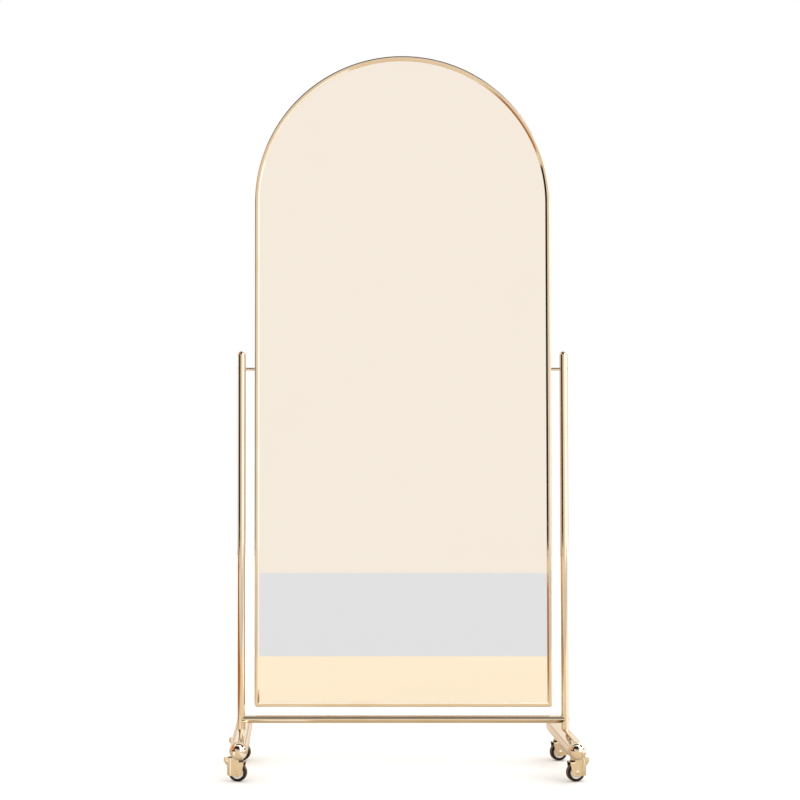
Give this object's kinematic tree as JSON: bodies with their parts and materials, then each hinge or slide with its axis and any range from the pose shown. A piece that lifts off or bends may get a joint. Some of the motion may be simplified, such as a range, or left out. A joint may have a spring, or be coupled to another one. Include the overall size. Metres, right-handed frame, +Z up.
{
  "type": "tilting floor mirror",
  "caption": "Arched full-length mirror in a slim polished frame that tilts between two posts on a low stand with ball-ended foot bars and swivel casters.",
  "frame": {"origin": "on the floor, under the middle of the stand", "axes": "+Z up, the mirror faces -Y, +X runs to the viewer's right along the crossbar"},
  "size_m": [0.837, 0.442, 1.6978],
  "materials": {
    "frame_gold": "polished",
    "stand_gold": "polished",
    "caster_gold": "polished",
    "bright_rim": "polished",
    "rim_white": "polished",
    "tyre": "satin",
    "mirror": "polished",
    "backing": "matte",
    "steel": "satin",
    "soft_black": "matte",
    "washer": "satin"
  },
  "bodies": {
    "stand": {"post_left": "stand_gold", "post_right": "stand_gold", "post_cap_left": "stand_gold", "post_cap_right": "stand_gold", "pivot_bolt_left": "stand_gold", "pivot_bolt_right": "stand_gold", "pivot_sleeve_left": "stand_gold", "pivot_sleeve_right": "stand_gold", "pivot_inserts": "steel", "friction_washers": "washer", "crossbar": "stand_gold", "crossbar_plugs": "steel", "crossbar_bolts": "stand_gold", "foot_bar_left": "stand_gold", "foot_bar_right": "stand_gold", "foot_cap_fl": "stand_gold", "foot_cap_fr": "stand_gold", "foot_cap_rl": "stand_gold", "foot_cap_rr": "stand_gold", "post_plugs": "steel", "foot_bolts": "stand_gold", "stem_nuts": "steel", "bearing_rings": "soft_black", "caster_stem_fl": "caster_gold", "caster_stem_fr": "caster_gold", "caster_stem_rl": "caster_gold", "caster_stem_rr": "caster_gold"},
    "mirror": {"frame_arch": "frame_gold", "frame_rail": "frame_gold", "corner_keys": "steel", "corner_screws": "steel", "mirror_glass": "mirror", "glass_tape": "soft_black", "backing_board": "backing", "back_clips": "steel", "clip_screws": "steel", "pivot_bush_left": "steel", "pivot_bush_right": "steel"},
    "caster_fl": {"caster_fork_fl": "caster_gold", "axle_fl": "bright_rim"},
    "wheel_fl": {"wheel_rim_fl": "rim_white", "tyre_fl": "tyre"},
    "caster_fr": {"caster_fork_fr": "caster_gold", "axle_fr": "bright_rim"},
    "wheel_fr": {"wheel_rim_fr": "rim_white", "tyre_fr": "tyre"},
    "caster_rl": {"caster_fork_rl": "caster_gold", "axle_rl": "bright_rim"},
    "wheel_rl": {"wheel_rim_rl": "rim_white", "tyre_rl": "tyre"},
    "caster_rr": {"caster_fork_rr": "caster_gold", "axle_rr": "bright_rim"},
    "wheel_rr": {"wheel_rim_rr": "rim_white", "tyre_rr": "tyre"}
  },
  "joints": [
    {"name": "mirror_tilt", "type": "hinge", "parent": "stand", "child": "mirror", "pos_m": [0, 0, 0.949], "axis": [1, 0, 0], "continuous": true},
    {"name": "swivel_fl", "type": "hinge", "parent": "stand", "child": "caster_fl", "pos_m": [-0.383, -0.1495, 0.05], "axis": [0, 0, 1], "continuous": true},
    {"name": "roll_fl", "type": "hinge", "parent": "caster_fl", "child": "wheel_fl", "pos_m": [-0.38592, -0.1488, 0.021], "axis": [-0.2334, -0.9724, 0], "continuous": true},
    {"name": "swivel_fr", "type": "hinge", "parent": "stand", "child": "caster_fr", "pos_m": [0.383, -0.1495, 0.05], "axis": [0, 0, 1], "continuous": true},
    {"name": "roll_fr", "type": "hinge", "parent": "caster_fr", "child": "wheel_fr", "pos_m": [0.38592, -0.1488, 0.021], "axis": [0.2334, -0.9724, 0], "continuous": true},
    {"name": "swivel_rl", "type": "hinge", "parent": "stand", "child": "caster_rl", "pos_m": [-0.383, 0.1495, 0.05], "axis": [0, 0, 1], "continuous": true},
    {"name": "roll_rl", "type": "hinge", "parent": "caster_rl", "child": "wheel_rl", "pos_m": [-0.38592, 0.1502, 0.021], "axis": [-0.2334, -0.9724, 0], "continuous": true},
    {"name": "swivel_rr", "type": "hinge", "parent": "stand", "child": "caster_rr", "pos_m": [0.383, 0.1495, 0.05], "axis": [0, 0, 1], "continuous": true},
    {"name": "roll_rr", "type": "hinge", "parent": "caster_rr", "child": "wheel_rr", "pos_m": [0.38592, 0.1502, 0.021], "axis": [0.2334, -0.9724, 0], "continuous": true}
  ]
}
